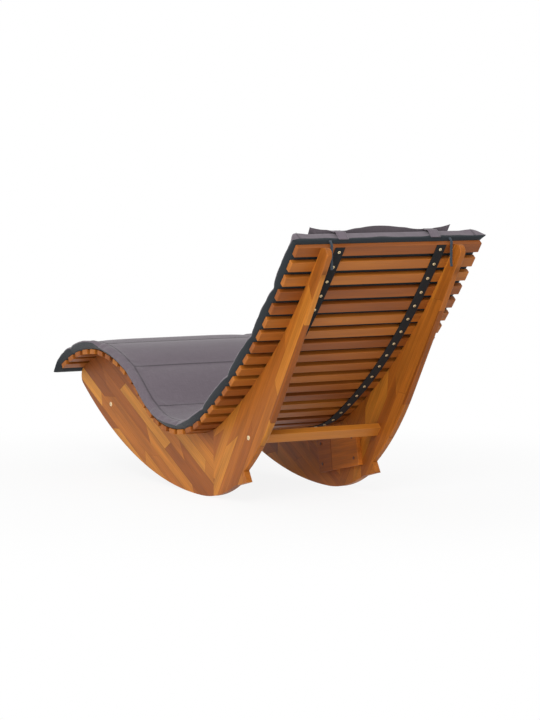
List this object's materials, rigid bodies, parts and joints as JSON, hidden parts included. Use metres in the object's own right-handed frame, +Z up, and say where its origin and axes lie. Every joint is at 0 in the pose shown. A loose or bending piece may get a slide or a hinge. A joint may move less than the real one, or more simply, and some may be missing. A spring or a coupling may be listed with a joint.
{
  "type": "rocking sun lounger",
  "caption": "Curved slatted wooden sun lounger on board rockers with stop feet, with a stitched pad and a head pillow that turns over the head end on straps.",
  "frame": {"origin": "middle of the overall box, on the floor under the lounger as it stands at rest", "axes": "+Z up, +Y from the foot end to the head end, +X to the left of a person lying on it"},
  "size_m": [0.6266, 1.5728, 0.8154],
  "materials": {
    "acacia": "oiled",
    "dowel_wood": "plain",
    "webbing_black": "woven",
    "screw_metal": "satin",
    "bolt_metal": "satin",
    "pad_fabric": "woven matt",
    "pillow_fabric": "woven matt",
    "tie_tape": "woven matt"
  },
  "bodies": {
    "lounger": {"slat_01": "acacia", "slat_02": "acacia", "slat_03": "acacia", "slat_04": "acacia", "slat_05": "acacia", "slat_06": "acacia", "slat_07": "acacia", "slat_08": "acacia", "slat_09": "acacia", "slat_10": "acacia", "slat_11": "acacia", "slat_12": "acacia", "slat_13": "acacia", "slat_14": "acacia", "slat_15": "acacia", "slat_16": "acacia", "slat_17": "acacia", "slat_18": "acacia", "slat_19": "acacia", "slat_20": "acacia", "slat_21": "acacia", "slat_22": "acacia", "slat_23": "acacia", "slat_24": "acacia", "slat_25": "acacia", "slat_26": "acacia", "slat_27": "acacia", "slat_28": "acacia", "slat_29": "acacia", "slat_30": "acacia", "slat_31": "acacia", "slat_32": "acacia", "slat_33": "acacia", "slat_34": "acacia", "left_front_board": "acacia", "left_rear_board": "acacia", "right_front_board": "acacia", "right_rear_board": "acacia", "left_gusset": "acacia", "right_gusset": "acacia", "rear_rail": "acacia", "front_rail": "acacia", "seam_dowels": "dowel_wood", "left_webbing": "webbing_black", "right_webbing": "webbing_black", "left_webbing_screws": "screw_metal", "right_webbing_screws": "screw_metal", "left_slat_screws": "screw_metal", "right_slat_screws": "screw_metal", "gusset_screws": "screw_metal", "rail_bolts": "bolt_metal", "barrel_nuts": "bolt_metal", "cushion_pad": "pad_fabric", "cushion_ties": "tie_tape", "strap_tabs": "pillow_fabric"},
    "pillow": {"head_pillow": "pillow_fabric", "pillow_straps": "pillow_fabric"}
  },
  "joints": [
    {"name": "pillow_flip", "type": "hinge", "parent": "lounger", "child": "pillow", "pos_m": [0, 0.73022, 0.80151], "axis": [-1, 0, 0], "range_deg": [0, 195]}
  ]
}
